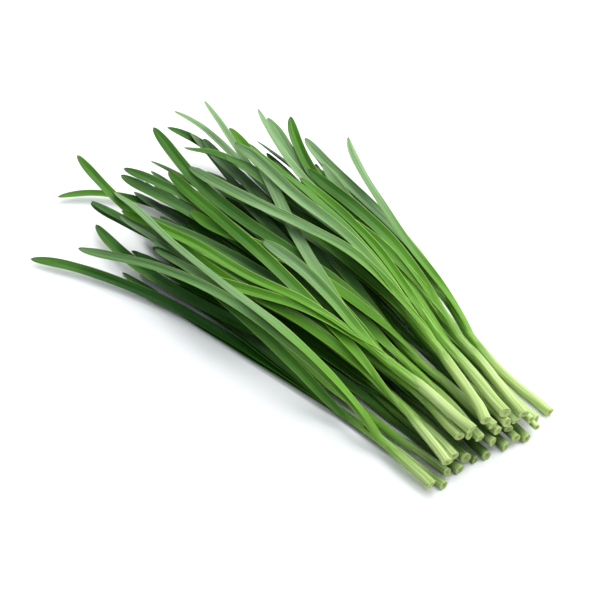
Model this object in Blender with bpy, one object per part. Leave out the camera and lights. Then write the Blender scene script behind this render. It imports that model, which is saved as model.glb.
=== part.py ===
"""A bunch of cut garlic chives lying on a table, as it is sold: about thirty leafy shoots, none of them tied.

Each shoot is one solid: a pale sheathed stalk, cut square at its foot, with its flat keeled leaves growing
from it. The shoots are laid down one after another. Each stalk and leaf rests on the table or on what already
lies there, so the bunch heaps up as a real one does and no shoot cuts into another.

The layout is in millimetres, in a frame of its own: x runs from the cut feet to the leaf tips, y to the left
and z up from the table. The finished solids are in metres, with the origin on the table under the middle of
the bunch.
"""

import math
from operator import itemgetter

import bmesh
import bpy
import numpy as np

MM = 0.001

# A stalk: its usual radius, how it narrows where the leaves part, and its number of sides
STALK_RADIUS = 2.6
STALK_SIDES = 8
MOUTH_TAPER = 14.0
MOUTH_SHARE = 0.55
LIP = 4.0

# A leaf: its usual full width and the draw of each leaf's share of it, its thickness at the keel, how deep
# it is rooted in the stalk, over what length it opens, its share of the width inside the stalk, past it and
# fully open, its fold at the root and when open (degrees from flat), and its keel's depth at the tip and in
# addition along it
LEAF_WIDTH = 6.6
WIDTH_DRAW = (0.80, 1.10)
LEAF_THICKNESS = 1.0
LEAF_ROOT = 12.0
LEAF_OPENED = 70.0
WIDTH_SHARES = (0.34, 0.26, 0.40)
FOLD = (32.0, 12.0)
KEEL_SHARES = (0.35, 0.65)
LEAF_SPACING = 0.5

# A leaf's tip: the length over which it narrows, how blunt it is and how wide its very end stays
TIP_TAPER = 22.0
TIP_POWER = 0.56
TIP_END = 0.1

# Where the cross-sections stand: close together at the root and the tip of a leaf and at the mouth of a
# stalk
STATION_GAP = 42.0
ROOT_STATIONS = (0.0, LEAF_ROOT, LEAF_ROOT + 16.0)
TIP_STATIONS = (14.0, 4.0, 0.0)
FEWEST_RUNS = 3
STALK_STATIONS = (0.0, 0.25, 0.55)

# How a leaf runs: the share of its length over which it keeps the stalk's heading and, at its end, the
# tip's, how late it rises to a raised tip, how far it droops otherwise, and how far it may be rolled along
# the way and at a tip
ROOT_PULL = 0.34
TIP_PULL = 0.30
TIP_LIFT = 2.6
DROOP_RADIUS = 350.0
ROLL = 24.0
TIP_ROLL = 42.0

# A leaf that the others hide, beside a seen one: its turn at the tip, its swing to the middle (both in
# degrees) and its share of the length
HIDDEN_LEAN = 12.0
HIDDEN_SWING = (-3.0, 12.0)
HIDDEN_REACH = (0.72, 0.98)

# How far a stalk bends from its own direction towards its leaves'
BEND_SHARE = 0.5

# How the pieces lie on each other: the gap kept to what lies below, how sharply stalks and leaves may sag,
# how far ahead of its mouth a stalk is held up, and over what length a leaf eases off its stalk
CLEARANCE = 0.4
STALK_BEND_RADIUS = 600.0
LEAF_BEND_RADIUS = 170.0
SMOOTHING = 5.0
AHEAD = 9.0
AHEAD_STEP = 2.0
ROOT_EASE = 20.0

# Leaves of one shoot overlap by this much at first and lie clear of each other past these lengths. Each
# leaf is tried this many times and the way that lies lowest is kept.
SISTERS_PART = (45.0, 75.0)
SISTERS_OVERLAP = 9.0
TRIES = 8

# How finely a path is followed, and how its straight runs are raised until they clear what lies below
PATH_SAMPLES = 161
STALK_SAMPLES = 121
LEAF_SAMPLES = 281
CURVE_ALLOWANCE = 1.01
LIFT_ROUNDS = 60
LIFT_SHARE = 1.3
LIFT_ENOUGH = 0.001

# The grid that holds the heap's height
CELL = 0.6
PILE_FROM = (-20.0, -120.0)
PILE_SIZE = (600, 440)

# How far the hidden leaves may reach to the side: on the near side a line that starts beside the mouths and
# rises by a share of the length, on the far side a limit
MOUTH_AT = 100.0
NEAR_EDGE = (40.0, 0.21)
FAR_EDGE = -62.0

SEED = 12

# The look: one green, a little darker for the lowest shoots and lighter for the highest
SHADES = (0.85, 1.15)
LEAF_GREEN = (0.10, 0.29, 0.05)
LEAF_ROUGHNESS = 0.45

# The shoots, in the order they are laid down. Each row has the middle of the cut foot, the mouth where the
# leaves part, the stalk's thickness as a share of the usual one, the number of leaves, and the tips of the
# leaves that are seen, as (x, y, height above the table, direction in degrees from the x axis). A height of
# 0 lets the leaf droop on to whatever lies below it. A fifth number is how far the tip is rolled, in
# degrees, where that is seen. A third number at a mouth is the stalk's direction there, where it isn't the
# usual one.
SHOOTS = (
    ((13, 38), (70, 44), 0.95, 4, ((284, 106, 4, 40, -20), (238, 62, 0, 8), (205, 57, 0, 10))),
    ((16, 33), (67, 38), 0.90, 4, ((219, 60, 0, 19), (238, 27, 0, -3), (250, 45, 0, 4))),
    ((15, 25), (72, 29), 1.08, 4, ((249, 60, 8, 10), (280, 63, 8, -10), (240, 37, 0, 2))),
    ((16, 20), (74, 20), 1.08, 4, ((272, 40, 6, 8), (240, 40, 0, 0))),
    ((19, 26), (69, 27), 0.95, 4, ((243, 60, 0, 7), (234, 12, 0, -3), (264, 19, 0, 2))),
    ((15, 14), (68, 12), 0.80, 4, ((318, 64, 4, 66), (262, 30, 0, -3), (292, 27, 0, 2))),
    ((13, 8), (74, 4), 1.00, 4, ((292, 14, 14, -1), (270, -6, 0, -8), (283, 22, 0, 4))),
    ((17, 28), (70, 25), 1.00, 4, ((258, 44, 0, -3), (230, 34, 0, -3), (244, 24, 0, 0))),
    ((11, -4), (78, -8), 1.00, 4, ((317, -17, 15, 20), (286, 22, 0, -8), (288, -16, 0, -4))),
    ((10, -10), (70, -14), 0.90, 4, ((303, -24, 15, -11), (262, -40, 0, -8), (280, -28, 0, -8))),
    ((14, 3), (72, 9), 0.95, 4, ((282, 20, 0, -6), (232, 16, 0, -3), (266, 2, 0, -4))),
    ((8, -16), (76, -24), 1.00, 4, ((270, -45, 16, -15), (240, -54, 0, -12), (280, -42, 0, -9))),
    ((14, -29), (80, -38, -13), 1.00, 4, ((236, -66, 12, -25), (200, -66, 0, -12), (226, -73, 0, -12))),
    ((8, -23), (74, -33), 0.70, 4, ((250, -70, 20, -11), (215, -60, 0, -12), (246, -60, 0, -12))),
    ((13, -38), (92, -48, -17), 1.05, 4,
     ((205, -58, 0, -15), (249, -69, 22, -14, -15), (217, -75, 40, -38, 30))),
    ((11, -21), (74, -29), 0.80, 4, ((262, -50, 0, -12), (226, -58, 0, -12), (240, -42, 0, -8))),
    ((16, 11), (78, 6), 1.00, 3, ((268, 2, 20, -3), (300, 30, 10, 4))),
    ((15, -1), (76, -2), 1.00, 4, ((274, -52, 12, 2), (250, -20, 0, -10), (264, -54, 30, -12))),
    ((14, -8), (84, -18), 0.90, 3, ((278, -36, 22, -3), (262, -12, 0, -8))),
    ((19, 16), (80, 14), 0.90, 4, ((298, 29, 16, 16, -25), (291, 58, 14, 7))),
    ((20, 22), (71, 19), 1.00, 4, ((290, 58, 16, 6), (305, 55, 40, -11, -20), (293, 13, 20, 15))),
    ((16, 2), (84, 0), 1.00, 4, ((301, 4, 36, -12, -28), (311, -19, 30, 14), (240, 24, 0, -3))),
    ((14, -6), (86, -12), 1.00, 4, ((295, -30, 42, -16, 20), (281, -3, 25, 24, 12))),
    ((13, -12), (84, -22), 0.90, 4, ((254, -13, 36, 4), (269, -57, 25, -19))),
    ((11, -15), (82, -28), 1.08, 4, ((258, -65, 35, -34, -32), (216, -43, 34, -1), (238, -35, 30, -10))),
    ((14, 36), (68, 28), 1.00, 3, ((271, 16, 28, -4), (255, 62, 20, 9), (230, 54, 0, 2))),
    ((16, -6), (82, -15), 1.12, 3, ((277, -56, 34, -24, 24), (224, -22, 36, -10), (209, -32, 30, -3))),
    ((16, 18), (81, 20), 1.12, 4,
     ((200, 66, 28, 34), (254, 61, 30, 14), (237, -23, 30, -18), (185, 16, 32, 11))),
    ((16, 8), (83, -9), 1.08, 4, ((251, -29, 36, -1), (256, -22, 30, -7), (262, 8, 30, 5))),
    ((15, 45), (65, 46), 1.05, 4, ((222, 62, 0, 4), (262, 87, 16, 20), (268, 56, 24, -5))),
)


class Pile:
    """The height of what lies on the table so far, over a grid of square cells."""

    def __init__(self):
        self.top = np.full(PILE_SIZE, -CLEARANCE)

    def cells(self, points):
        found = np.floor((points[..., :2] - PILE_FROM) / CELL).astype(int)
        return np.clip(found, 1, np.array(PILE_SIZE) - 2)

    def height_under(self, points):
        i, j = np.moveaxis(self.cells(points), -1, 0)
        return self.top[i, j]

    def cover(self, points):
        """Raises the cells under these points, and the cells beside them, to the points' height."""
        i, j = np.moveaxis(self.cells(points), -1, 0)
        for di in (-1, 0, 1):
            for dj in (-1, 0, 1):
                np.maximum.at(self.top, (i + di, j + dj), points[..., 2])


def smooth_step(u):
    u = np.clip(u, 0.0, 1.0)
    return u * u * (3 - 2 * u)


def plan_curve(start, heading, end, lean, at):
    """Points and left-hand normals, at these lengths, of a curve from start to end.

    It leaves start along heading, a unit vector, and comes to end at lean degrees from the x axis.
    """
    start, end = np.array(start, float), np.array(end, float)
    reach = np.linalg.norm(end - start)
    tip_heading = np.array(unit(lean))
    first = start + np.array(heading) * reach * ROOT_PULL
    second = end - tip_heading * reach * TIP_PULL
    t = np.linspace(0, 1, PATH_SAMPLES)[:, None]
    line = (1 - t) ** 3 * start + 3 * t * (1 - t) ** 2 * first
    line += 3 * t**2 * (1 - t) * second + t**3 * end
    slope = (1 - t) ** 2 * (first - start) + 2 * t * (1 - t) * (second - first) + t**2 * (end - second)
    length = np.concatenate([[0], np.cumsum(np.linalg.norm(np.diff(line, axis=0), axis=1))])
    normal = np.stack([-slope[:, 1], slope[:, 0]], 1) / np.linalg.norm(slope, axis=1)[:, None]
    share = np.array(at) / at[-1] * length[-1]
    columns = [np.interp(share, length, column) for column in (*line.T, *normal.T)]
    return np.stack(columns[:2], 1), np.stack(columns[2:], 1)


def solid_points(middle, normal, rings):
    """The corners of each cross-section, from its (across, up) pairs in the upright plane across the curve."""
    flat = middle[:, None, :2] + normal[:, None, :] * rings[..., :1]
    return np.concatenate([flat, middle[:, None, 2:] + rings[..., 1:]], axis=2)


def between(values, t):
    """values at the fractional station numbers t, in straight runs from station to station."""
    k = np.clip(t.astype(int), 0, len(values) - 2)
    share = (t - k).reshape((-1,) + (1,) * (values.ndim - 1))
    return values[k] * (1 - share) + values[k + 1] * share


def skin_samples(points, t, around=3):
    """Points spread over the faceted skin: at the fractional stations t, and around of them on each side."""
    along = between(points, t)
    after = np.roll(along, -1, axis=1)
    return np.concatenate([along + (after - along) * i / around for i in range(around)], axis=1)


def rest(need, at, bend_radius):
    """The lowest smooth line that lies on the supports and sags no faster than the bend radius allows."""
    gap = at[:, None] - at[None, :]
    line = (need[None, :] - gap**2 / (2 * bend_radius)).max(axis=1)
    weight = np.exp(-((gap / SMOOTHING) ** 2) / 2)
    return weight @ line / weight.sum(axis=1)


def lift_clear(heights, need, t):
    """Raises the stations until the straight runs between them clear every support."""
    heights = heights.copy()
    k = np.clip(t.astype(int), 0, len(heights) - 2)
    share = t - k
    for _ in range(LIFT_ROUNDS):
        short = np.maximum(need - between(heights, t), 0)
        if short.max() < LIFT_ENOUGH:
            break
        push = np.zeros(len(heights))
        np.maximum.at(push, k, short * (1 - share) * LIFT_SHARE)
        np.maximum.at(push, k + 1, short * share * LIFT_SHARE)
        heights += push
    return heights


def stalk_rings(at, radius):
    """Rings with a flat side down, narrower towards the mouth."""
    corner = (np.arange(STALK_SIDES) + 0.5) * math.tau / STALK_SIDES
    taper = smooth_step((at - at[-1] + MOUTH_TAPER) / MOUTH_TAPER)
    size = radius / math.cos(math.pi / STALK_SIDES) * (1 - (1 - MOUTH_SHARE) * taper)
    ring = np.stack([-np.cos(corner), np.sin(corner)], 1)
    return size[:, None, None] * ring


def leaf_rings(at, width, roll):
    """Four-cornered rings of a channelled blade: left edge, channel, right edge and keel."""
    length = at[-1]
    opened = smooth_step(at / LEAF_OPENED)
    to_tip = np.clip((length - at) / TIP_TAPER, 0, 1)
    blunt = (1 - (1 - to_tip) ** 2) ** TIP_POWER * (1 - TIP_END) + TIP_END
    sheathed = smooth_step(at / LEAF_ROOT)
    share = WIDTH_SHARES[0] + WIDTH_SHARES[1] * sheathed + WIDTH_SHARES[2] * opened
    half = width / 2 * share * blunt
    fold = np.radians(FOLD[0] + (FOLD[1] - FOLD[0]) * opened)
    keel = LEAF_THICKNESS * (KEEL_SHARES[0] + KEEL_SHARES[1] * np.sqrt(blunt))
    edge = np.stack([half * np.cos(fold), half * np.sin(fold)], 1)
    flat = np.stack([edge * (-1, 1), edge * 0, edge, np.stack([0 * keel, -keel], 1)], 1)
    c, s = np.cos(roll)[:, None], np.sin(roll)[:, None]
    return np.stack([flat[..., 0] * c - flat[..., 1] * s, flat[..., 0] * s + flat[..., 1] * c], 2)


def leaf_stations(length):
    """Lengths along a leaf: close together where it opens at the root and narrows at the tip."""
    tip = length - np.array(TIP_STATIONS)
    runs = max(FEWEST_RUNS, round((tip[0] - ROOT_STATIONS[-1]) / STATION_GAP))
    middle = np.linspace(ROOT_STATIONS[-1], tip[0], runs + 1)[1:-1]
    return np.concatenate([ROOT_STATIONS, middle, tip])


def mouth_lean(foot, mouth, tips):
    """The stalk's direction and its direction at the mouth, part-way to the leaves' own, in degrees."""
    straight = math.degrees(math.atan2(mouth[1] - foot[1], mouth[0] - foot[0]))
    if len(mouth) > 2:
        return straight, mouth[2]
    leaves = [math.degrees(math.atan2(tip[1] - mouth[1], tip[0] - mouth[0])) for tip in tips]
    return straight, straight + BEND_SHARE * (sum(leaves) / len(leaves) - straight)


def unit(degrees):
    return math.cos(math.radians(degrees)), math.sin(math.radians(degrees))


def lay_stalk(pile, foot, mouth, straight, lean, radius):
    """One stalk, resting on the pile along its length and a little way ahead of its mouth."""
    length = math.dist(foot, mouth[:2])
    at = np.array([*(length * share for share in STALK_STATIONS), length - MOUTH_TAPER, length - LIP, length])
    plan, normal = plan_curve(foot, unit(2 * straight - lean), mouth[:2], lean, at)
    rings = stalk_rings(at, radius)
    level = np.column_stack([plan, np.zeros(len(at))])
    t = np.linspace(0, len(at) - 1, STALK_SAMPLES)
    skin = skin_samples(solid_points(level, normal, rings), t)
    need = (pile.height_under(skin) + CLEARANCE - skin[..., 2]).max(axis=1)
    fine = between(at, t)
    ahead = np.arange(AHEAD_STEP, AHEAD, AHEAD_STEP)
    path = np.array(mouth[:2]) + ahead[:, None] * unit(lean)
    beside = np.array([[-1], [0], [1]]) * radius * normal[-1]
    need_ahead = pile.height_under(path[:, None] + beside).max(axis=1) + CLEARANCE + LEAF_THICKNESS
    line = rest(np.append(need, need_ahead), np.append(fine, length + ahead), STALK_BEND_RADIUS)
    heights = np.interp(at, fine, line[: len(fine)])
    level[:, 2] = lift_clear(heights, need, t)
    points = solid_points(level, normal, rings)
    return at, level, points, skin_samples(points, t)


def lay_leaf(pile, own, root, heading, tip, width, roll, order):
    """One leaf, from its root inside the stalk to its tip, resting on the pile and on its elder sisters."""
    length = float(np.linalg.norm(np.subtract(tip[:2], root[:2]))) * CURVE_ALLOWANCE
    at = leaf_stations(length)
    plan, normal = plan_curve(root[:2], heading, tip[:2], tip[3], at)
    turn = np.radians(roll[0] + (roll[1] - roll[0]) * smooth_step(at / length))
    rings = leaf_rings(at, width, turn)
    level = np.column_stack([plan, np.zeros(len(at))])
    t = np.linspace(0, len(at) - 1, LEAF_SAMPLES)
    skin = skin_samples(solid_points(level, normal, rings), t)
    fine = between(at, t)
    start = root[2] + LEAF_SPACING * order
    free = smooth_step((fine - SISTERS_PART[0]) / (SISTERS_PART[1] - SISTERS_PART[0]))
    need_pile = (pile.height_under(skin) + CLEARANCE - skin[..., 2]).max(axis=1)
    need_own = (own.height_under(skin) - skin[..., 2]).max(axis=1) - SISTERS_OVERLAP * (1 - free)
    need = np.maximum(need_pile, need_own)
    if tip[2]:
        natural = start + (tip[2] - start) * (fine / length) ** TIP_LIFT
    else:
        natural = start - fine**2 / (2 * DROOP_RADIUS)
    line = rest(np.maximum(need, natural), fine, LEAF_BEND_RADIUS)
    line += (start - line[0]) * np.exp(-fine / ROOT_EASE)
    level[:, 2] = lift_clear(np.interp(at, fine, line), np.where(fine > LEAF_ROOT, need, -np.inf), t)
    points = solid_points(level, normal, rings)
    return points, skin_samples(points, t), line.mean()


def hidden_tip(draw, mouth, tips):
    """A tip for a hidden leaf: shorter than a seen one and swung mostly towards the bunch's middle."""
    seen = np.array(tips[draw.integers(len(tips))][:2]) - mouth[:2]
    inward = -1 if seen[1] > 0 else 1
    swing = math.radians(draw.uniform(*HIDDEN_SWING)) * inward
    reach = seen * draw.uniform(*HIDDEN_REACH)
    along = mouth[0] + reach[0] * math.cos(swing) - reach[1] * math.sin(swing)
    aside = mouth[1] + reach[0] * math.sin(swing) + reach[1] * math.cos(swing)
    near_edge = NEAR_EDGE[0] + (along - MOUTH_AT) * NEAR_EDGE[1]
    lean = math.degrees(math.atan2(aside - mouth[1], along - mouth[0]))
    lean += draw.uniform(-HIDDEN_LEAN, HIDDEN_LEAN)
    return along, min(max(aside, FAR_EDGE), near_edge), 0, lean


def lay_shoots():
    """Lays the whole bunch and gives {name: [closed skins as (stations, corners, 3) arrays]}."""
    draw = np.random.default_rng(SEED)
    pile = Pile()
    laid = {}
    for number, (foot, mouth, girth, count, tips) in enumerate(SHOOTS, 1):
        radius = STALK_RADIUS * girth
        straight, lean = mouth_lean(foot, mouth, tips)
        at, level, points, skin = lay_stalk(pile, foot, mouth, straight, lean, radius)
        skins = [points]
        covers = [skin]
        own = Pile()
        root_at = at[-1] - LEAF_ROOT
        root = [np.interp(root_at, at, level[:, i]) for i in range(3)]
        hidden = count - len(tips)
        for k in range(count):
            width = LEAF_WIDTH * draw.uniform(*WIDTH_DRAW)
            order = k - (count - 1) / 2
            ways = []
            for _ in range(TRIES):
                if k < hidden:
                    tip = hidden_tip(draw, mouth, tips)
                else:
                    tip = tips[k - hidden]
                roll = draw.uniform(-1, 1, 2) * (ROLL, TIP_ROLL if tip[2] else ROLL)
                if len(tip) > 4:
                    roll[1] = tip[4]
                ways.append(lay_leaf(pile, own, root, unit(lean), tip, width, roll, order))
            leaf, leaf_skin, _ = min(ways, key=itemgetter(2))
            own.cover(leaf_skin)
            skins.append(leaf)
            covers.append(leaf_skin)
        for cover in covers:
            pile.cover(cover)
        laid[f"shoot_{number:02d}"] = skins
    return laid


def skin_faces(stations, corners):
    """Triangles of a closed skin. On a leaf each side is split from its thin edge, alike on both faces."""
    faces = []
    for i in range(stations - 1):
        for a in range(corners):
            b = (a + 1) % corners
            here, beside = i * corners + a, i * corners + b
            onward, across = here + corners, beside + corners
            if a % 2 == 0:
                faces += [(here, beside, across), (here, across, onward)]
            else:
                faces += [(here, beside, onward), (beside, across, onward)]
    last = (stations - 1) * corners
    for a in range(1, corners - 1):
        faces += [(0, a + 1, a), (last, last + a, last + a + 1)]
    return faces


def add_skin(name, points, origin):
    stations, corners, _ = points.shape
    mesh = bpy.data.meshes.new(name)
    mesh.from_pydata(((points.reshape(-1, 3) - origin) * MM).tolist(), [], skin_faces(stations, corners))
    body = bmesh.new()
    body.from_mesh(mesh)
    bmesh.ops.recalc_face_normals(body, faces=body.faces)
    body.to_mesh(mesh)
    body.free()
    piece = bpy.data.objects.new(name, mesh)
    bpy.context.scene.collection.objects.link(piece)
    return piece


def shoot_material(name, shade):
    material = bpy.data.materials.new(name)
    material.use_nodes = True
    surface = material.node_tree.nodes["Principled BSDF"]
    surface.inputs["Base Color"].default_value = tuple(channel * shade for channel in LEAF_GREEN) + (1,)
    surface.inputs["Roughness"].default_value = LEAF_ROUGHNESS
    surface.inputs["Metallic"].default_value = 0.0
    return material


def keep_outer_skin(mesh):
    """Fills the small hollows that stay shut in where nested leaves meet: only the largest skin is kept."""
    body = bmesh.new()
    body.from_mesh(mesh)
    unseen = set(body.verts)
    largest = set()
    while unseen:
        skin = set()
        edge_of_skin = [unseen.pop()]
        while edge_of_skin:
            vertex = edge_of_skin.pop()
            skin.add(vertex)
            for edge in vertex.link_edges:
                other = edge.other_vert(vertex)
                if other in unseen:
                    unseen.remove(other)
                    edge_of_skin.append(other)
        largest = max(largest, skin, key=len)
    bmesh.ops.delete(body, geom=[v for v in body.verts if v not in largest], context="VERTS")
    body.to_mesh(mesh)
    body.free()


def join_leaves(name, skins, origin):
    """The stalk of a shoot joined with its leaves in one union."""
    shoot = add_skin(name, skins[0], origin)
    leaves = bpy.data.collections.new(name + "_leaves")
    bpy.context.scene.collection.children.link(leaves)
    for k, points in enumerate(skins[1:], 1):
        leaf = add_skin(f"{name}_leaf_{k}", points, origin)
        bpy.context.scene.collection.objects.unlink(leaf)
        leaves.objects.link(leaf)
    join = shoot.modifiers.new("join", "BOOLEAN")
    join.operation = "UNION"
    join.operand_type = "COLLECTION"
    join.collection = leaves
    join.solver = "EXACT"
    bpy.context.view_layer.objects.active = shoot
    bpy.ops.object.modifier_apply(modifier="join")
    for leaf in list(leaves.objects):
        bpy.data.objects.remove(leaf, do_unlink=True)
    bpy.data.collections.remove(leaves)
    keep_outer_skin(shoot.data)
    return shoot


def build_shoot(name, skins, origin, shade):
    shoot = join_leaves(name, skins, origin)
    shoot.data.materials.clear()
    shoot.data.materials.append(shoot_material(name + "_green", shade))


def main():
    for old in list(bpy.data.objects):
        bpy.data.objects.remove(old, do_unlink=True)
    laid = lay_shoots()
    every = np.concatenate([points.reshape(-1, 3) for skins in laid.values() for points in skins])
    low, high = every.min(axis=0), every.max(axis=0)
    origin = np.array([(low[0] + high[0]) / 2, (low[1] + high[1]) / 2, low[2]])
    for k, (name, skins) in enumerate(laid.items()):
        build_shoot(name, skins, origin, SHADES[0] + (SHADES[1] - SHADES[0]) * k / len(laid))


main()
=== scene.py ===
"""Dresses the garlic chive bunch: smooth channelled leaves and sheathed stalks in place of the solids.

The layout is worked out exactly as for the solids, in millimetres, with x from the cut feet to the leaf tips,
y to the left and z up from the table. The finished pieces are in metres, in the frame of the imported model.
"""

import math
from operator import itemgetter

import bpy
import numpy as np
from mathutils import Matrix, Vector


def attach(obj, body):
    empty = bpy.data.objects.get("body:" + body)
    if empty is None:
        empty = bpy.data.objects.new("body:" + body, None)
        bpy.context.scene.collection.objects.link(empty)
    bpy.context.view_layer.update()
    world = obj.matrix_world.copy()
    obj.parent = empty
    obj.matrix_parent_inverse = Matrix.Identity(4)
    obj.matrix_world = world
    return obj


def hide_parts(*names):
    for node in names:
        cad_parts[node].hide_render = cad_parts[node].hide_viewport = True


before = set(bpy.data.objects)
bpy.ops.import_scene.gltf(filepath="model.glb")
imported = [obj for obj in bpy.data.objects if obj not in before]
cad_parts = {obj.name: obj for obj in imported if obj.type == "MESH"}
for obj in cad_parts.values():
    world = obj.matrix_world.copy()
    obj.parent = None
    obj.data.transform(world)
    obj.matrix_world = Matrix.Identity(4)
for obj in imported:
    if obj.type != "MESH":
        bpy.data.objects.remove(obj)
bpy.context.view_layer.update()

MM = 0.001

# The values of the layout, from here to FAR_EDGE, are the same as the solids' own

# A stalk: its usual radius, how it narrows where the leaves part, and its number of sides
STALK_RADIUS = 2.6
STALK_SIDES = 8
MOUTH_TAPER = 14.0
MOUTH_SHARE = 0.55
LIP = 4.0

# A leaf: its usual full width and the draw of each leaf's share of it, its thickness at the keel, how deep
# it is rooted in the stalk, over what length it opens, its share of the width inside the stalk, past it and
# fully open, its fold at the root and when open (degrees from flat), and its keel's depth at the tip and in
# addition along it
LEAF_WIDTH = 6.6
WIDTH_DRAW = (0.80, 1.10)
LEAF_THICKNESS = 1.0
LEAF_ROOT = 12.0
LEAF_OPENED = 70.0
WIDTH_SHARES = (0.34, 0.26, 0.40)
FOLD = (32.0, 12.0)
KEEL_SHARES = (0.35, 0.65)
LEAF_SPACING = 0.5

# A leaf's tip: the length over which it narrows, how blunt it is and how wide its very end stays
TIP_TAPER = 22.0
TIP_POWER = 0.56
TIP_END = 0.1

# Where the cross-sections stand: close together at the root and the tip of a leaf and at the mouth of a
# stalk
STATION_GAP = 42.0
ROOT_STATIONS = (0.0, LEAF_ROOT, LEAF_ROOT + 16.0)
TIP_STATIONS = (14.0, 4.0, 0.0)
FEWEST_RUNS = 3
STALK_STATIONS = (0.0, 0.25, 0.55)

# How a leaf runs: the share of its length over which it keeps the stalk's heading and, at its end, the
# tip's, how late it rises to a raised tip, how far it droops otherwise, and how far it may be rolled along
# the way and at a tip
ROOT_PULL = 0.34
TIP_PULL = 0.30
TIP_LIFT = 2.6
DROOP_RADIUS = 350.0
ROLL = 24.0
TIP_ROLL = 42.0

# A leaf that the others hide, beside a seen one: its turn at the tip, its swing to the middle (both in
# degrees) and its share of the length
HIDDEN_LEAN = 12.0
HIDDEN_SWING = (-3.0, 12.0)
HIDDEN_REACH = (0.72, 0.98)

# How far a stalk bends from its own direction towards its leaves'
BEND_SHARE = 0.5

# How the pieces lie on each other: the gap kept to what lies below, how sharply stalks and leaves may sag,
# how far ahead of its mouth a stalk is held up, and over what length a leaf eases off its stalk
CLEARANCE = 0.4
STALK_BEND_RADIUS = 600.0
LEAF_BEND_RADIUS = 170.0
SMOOTHING = 5.0
AHEAD = 9.0
AHEAD_STEP = 2.0
ROOT_EASE = 20.0

# Leaves of one shoot overlap by this much at first and lie clear of each other past these lengths. Each
# leaf is tried this many times and the way that lies lowest is kept.
SISTERS_PART = (45.0, 75.0)
SISTERS_OVERLAP = 9.0
TRIES = 8

# How finely a path is followed, and how its straight runs are raised until they clear what lies below
PATH_SAMPLES = 161
STALK_SAMPLES = 121
LEAF_SAMPLES = 281
CURVE_ALLOWANCE = 1.01
LIFT_ROUNDS = 60
LIFT_SHARE = 1.3
LIFT_ENOUGH = 0.001

# The grid that holds the heap's height
CELL = 0.6
PILE_FROM = (-20.0, -120.0)
PILE_SIZE = (600, 440)

# How far the hidden leaves may reach to the side: on the near side a line that starts beside the mouths and
# rises by a share of the length, on the far side a limit
MOUTH_AT = 100.0
NEAR_EDGE = (40.0, 0.21)
FAR_EDGE = -62.0

# A visible leaf: how far apart its rings stand, how much closer they come at both ends, and where the corners
# of a ring lie across its upper and its lower side, as shares of half its width
LEAF_STEP = 2.4
CLOSER_AT_ENDS = 0.3
LEAF_TOP = (-1.0, -0.92, -0.6, -0.14, 0.0, 0.14, 0.6, 0.92, 1.0)
LEAF_UNDER = (0.95, 0.6, 0.16, 0.0, -0.16, -0.6, -0.95)
ACROSS = np.array(LEAF_TOP + LEAF_UNDER)
ON_TOP = np.arange(len(ACROSS)) < len(LEAF_TOP)

# Its form: how wide its very end stays, its share of the width inside the stalk, past it and fully open, its
# edges' thickness, its keel's depth at the tip and in addition along it, and how sharply its lower side and
# its channel curve
BLADE_END = 0.04
BLADE_SHARES = (0.5, 0.18, 0.32)
EDGE_THICKNESS = 0.25
BLADE_KEEL = (0.27, 0.63)
UNDER_POWER = 1.7
CHANNEL_POWER = 1.1

# Its fold in degrees, as drawn for each leaf, and the share of it that is left at the tip
BLADE_FOLD = (14.0, 28.0)
FOLD_AT_TIP = 0.3

# Its waves, each by its height and the length that it takes for a radian: the width as a share, the fold and
# the twist in degrees, and the ripple of the edges in millimetres, which fades towards the middle
WIDTH_WAVE = (0.03, 17.0)
FOLD_WAVE = (6.0, 43.0)
TWIST = (5.0, 31.0)
RIPPLE = (0.12, 6.1)
RIPPLE_POWER = 3

# Where a leaf wraps its stalk: which way the three or four leaves face (degrees to the left of straight up)
# and the draw beside that, half the angle that one wraps, its thickness there, over what length its middle
# and then its edges come out of the stalk, how far out it lies at first and at last, and how far its edges
# are tucked in, both as shares of the stalk's radius, and how sharply they curve in
WRAP = {3: (78.0, -78.0, 6.0), 4: (100.0, -96.0, 34.0, -28.0)}
WRAP_DRAW = 15.0
WRAP_HALF = 58.0
WRAP_THICKNESS = 0.35
WRAP_OUT = 9.0
WRAP_EDGES_OUT = 34.0
WRAP_REACH = (0.86, 0.98)
WRAP_TUCK = 0.26
WRAP_POWER = 1.5

# How long a leaf's sheath is below its root, and between which lengths past the root it unwraps
SHEATH = 17.0
UNWRAP = (4.0, 40.0)

# A visible stalk: how far apart its rings stand and their corners, its share of the radius at the mouth and
# over what length it narrows to it, its flare at the foot and over what length that fades, and how much it
# narrows on its whole way
STALK_STEP = 1.6
STALK_CORNERS = 28
STALK_MOUTH = 0.4
STALK_TAPER = 27.0
FLARE = (0.04, 7.0)
NARROWING = 0.04

# Its uneven girth as a wave, which grows over a length from the foot, and its sway to the sides as a wave,
# which fades over lengths towards the foot and the mouth
GIRTH_WAVE = (0.03, 7.0)
GIRTH_EVEN = 12.0
SWAY = (0.5, 11.0)
SWAY_ENDS = (10.0, 25.0)

# Its outline round the stalk, as shares of the radius: the step at the outer sheath's edge and how sharply it
# rises, the length over which that edge turns by a radian, fine ridges and an oval form with their numbers,
# and how much all of it is sunk
SHEATH_EDGE = (0.07, 8)
SHEATH_TURN = 70.0
RIDGES = (0.015, 7)
OVAL = (0.03, 2)
RIDGE_DROP = 0.02

# The cut foot: its rings from the outside in, each as a share of the radius and how deep it lies, and how
# much the cut slants at most
CUT_RINGS = (
    (1.0, 0.0),
    (0.93, -0.25),
    (0.8, -0.2),
    (0.75, 0.25),
    (0.62, -0.15),
    (0.55, 0.35),
    (0.36, 0.1),
    (0.26, 0.8),
)
CUT_TILT = 0.3

# Painted shade from the heap: the steps, in cells, over which the heap's height is evened out, how far
# below it a point lies where the painted shade begins, and over what depth it becomes full. The shade is
# painted into the colour of the stalks and leaves that lie deep in the heap.
PAINTED_SHADE_STEPS = (1, 2, 4, 5)
PAINTED_SHADE_FROM = 1.0
PAINTED_SHADE_DEPTH = 11.0

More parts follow.
